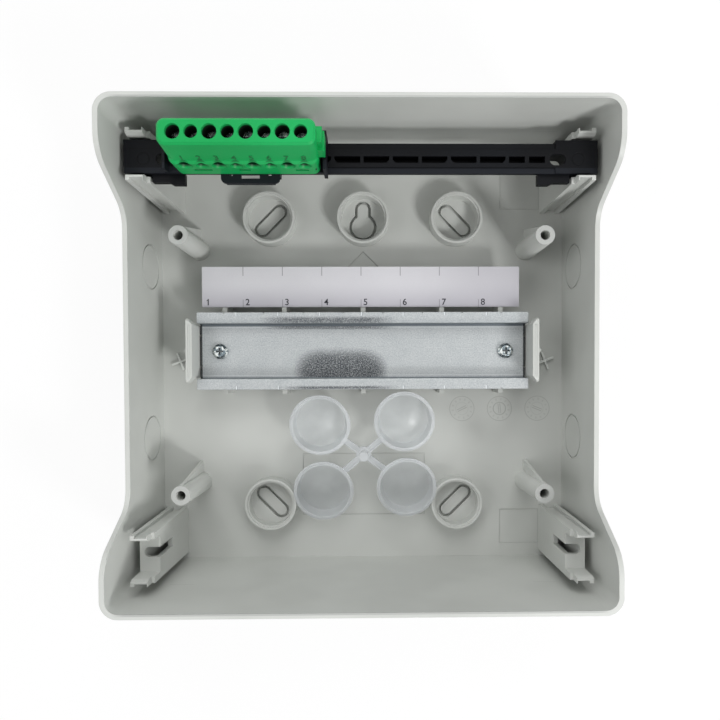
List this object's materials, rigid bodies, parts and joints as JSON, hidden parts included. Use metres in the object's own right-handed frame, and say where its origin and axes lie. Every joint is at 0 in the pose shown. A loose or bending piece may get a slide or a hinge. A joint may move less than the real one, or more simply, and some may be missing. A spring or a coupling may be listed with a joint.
{
  "type": "modular distribution box",
  "caption": "Open wall-mounted distribution box with dipped side walls, a hat rail, a label strip and a sliding green terminal block.",
  "frame": {"origin": "middle of the outer back face, where the box meets the wall", "axes": "+Z out of the open front, +Y towards the top of the box on the wall, +X to its right side"},
  "size_m": [0.2, 0.1982, 0.0803],
  "materials": {
    "grey_plastic": "fine matt, light grey",
    "zinc_plated_steel": "zinc plated",
    "bright_steel": "bright",
    "label_card": "printed card",
    "black_plastic": "satin black",
    "green_plastic": "satin green",
    "brass": "plain",
    "clear_grey_plastic": "milky translucent"
  },
  "bodies": {
    "box": {"back_box": "grey_plastic", "din_rail": "zinc_plated_steel", "rail_screw_left": "bright_steel", "rail_screw_right": "bright_steel", "label_strip": "label_card", "terminal_support_rail": "black_plastic", "cap_sprue": "clear_grey_plastic"},
    "terminal_block": {"terminal_carrier": "black_plastic", "terminal_block_housing": "green_plastic", "terminal_bar": "brass"},
    "clamp_screw_1": {"terminal_screw_1": "bright_steel"},
    "clamp_screw_2": {"terminal_screw_2": "bright_steel"},
    "clamp_screw_3": {"terminal_screw_3": "bright_steel"},
    "clamp_screw_4": {"terminal_screw_4": "bright_steel"},
    "clamp_screw_5": {"terminal_screw_5": "bright_steel"},
    "clamp_screw_6": {"terminal_screw_6": "bright_steel"},
    "clamp_screw_7": {"terminal_screw_7": "bright_steel"},
    "clamp_screw_8": {"terminal_screw_8": "bright_steel"}
  },
  "joints": [
    {"name": "terminal_block_slide", "type": "slide", "parent": "box", "child": "terminal_block", "axis": [1, 0, 0], "range_m": [0, 0.0843]},
    {"name": "clamp_screw_1_travel", "type": "slide", "parent": "terminal_block", "child": "clamp_screw_1", "axis": [0, 0, 1], "range_m": [0, 0.0038]},
    {"name": "clamp_screw_2_travel", "type": "slide", "parent": "terminal_block", "child": "clamp_screw_2", "axis": [0, 0, 1], "range_m": [0, 0.0038]},
    {"name": "clamp_screw_3_travel", "type": "slide", "parent": "terminal_block", "child": "clamp_screw_3", "axis": [0, 0, 1], "range_m": [0, 0.0038]},
    {"name": "clamp_screw_4_travel", "type": "slide", "parent": "terminal_block", "child": "clamp_screw_4", "axis": [0, 0, 1], "range_m": [0, 0.0038]},
    {"name": "clamp_screw_5_travel", "type": "slide", "parent": "terminal_block", "child": "clamp_screw_5", "axis": [0, 0, 1], "range_m": [0, 0.0038]},
    {"name": "clamp_screw_6_travel", "type": "slide", "parent": "terminal_block", "child": "clamp_screw_6", "axis": [0, 0, 1], "range_m": [0, 0.0038]},
    {"name": "clamp_screw_7_travel", "type": "slide", "parent": "terminal_block", "child": "clamp_screw_7", "axis": [0, 0, 1], "range_m": [0, 0.0038]},
    {"name": "clamp_screw_8_travel", "type": "slide", "parent": "terminal_block", "child": "clamp_screw_8", "axis": [0, 0, 1], "range_m": [0, 0.0038]}
  ]
}
